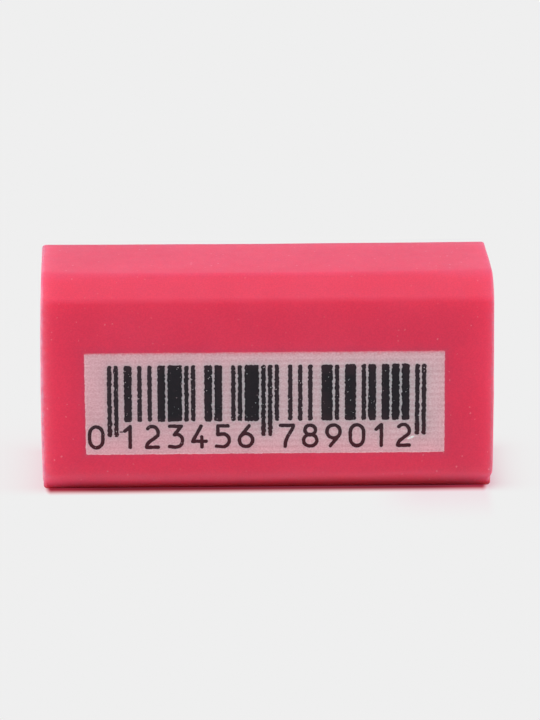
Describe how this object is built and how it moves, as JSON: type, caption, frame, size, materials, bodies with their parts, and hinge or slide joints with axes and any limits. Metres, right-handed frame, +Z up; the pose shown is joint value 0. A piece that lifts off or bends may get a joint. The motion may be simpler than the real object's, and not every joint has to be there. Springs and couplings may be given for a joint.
{
  "type": "block eraser",
  "caption": "Soft block eraser for rubbing out pencil: a bar with chamfered long edges and square-cut ends, with a white panel of black bars printed on its front face.",
  "frame": {"origin": "on the ground, under the middle of the block as it stands on a narrow long side", "axes": "+X along the length, from the printed face's left end to its right end; the printed face looks towards -Y; +Z up"},
  "size_m": [0.045, 0.0151, 0.0227],
  "materials": {
    "soft_rubber": "semi-matte, slightly translucent bright pink",
    "white_ink": "thin matte white ink, with the pink showing through",
    "black_ink": "matte black ink"
  },
  "bodies": {
    "root": {"eraser_block": "soft_rubber", "print_panel": "white_ink", "bar_01": "black_ink", "bar_02": "black_ink", "bar_03": "black_ink", "bar_04": "black_ink", "bar_05": "black_ink", "bar_06": "black_ink", "bar_07": "black_ink", "bar_08": "black_ink", "bar_09": "black_ink", "bar_10": "black_ink", "bar_11": "black_ink", "bar_12": "black_ink", "bar_13": "black_ink", "bar_14": "black_ink", "bar_15": "black_ink", "bar_16": "black_ink", "bar_17": "black_ink", "bar_18": "black_ink", "bar_19": "black_ink", "bar_20": "black_ink", "bar_21": "black_ink", "bar_22": "black_ink", "bar_23": "black_ink", "bar_24": "black_ink", "bar_25": "black_ink", "bar_26": "black_ink", "bar_27": "black_ink", "bar_28": "black_ink", "bar_29": "black_ink", "bar_30": "black_ink"}
  },
  "joints": []
}
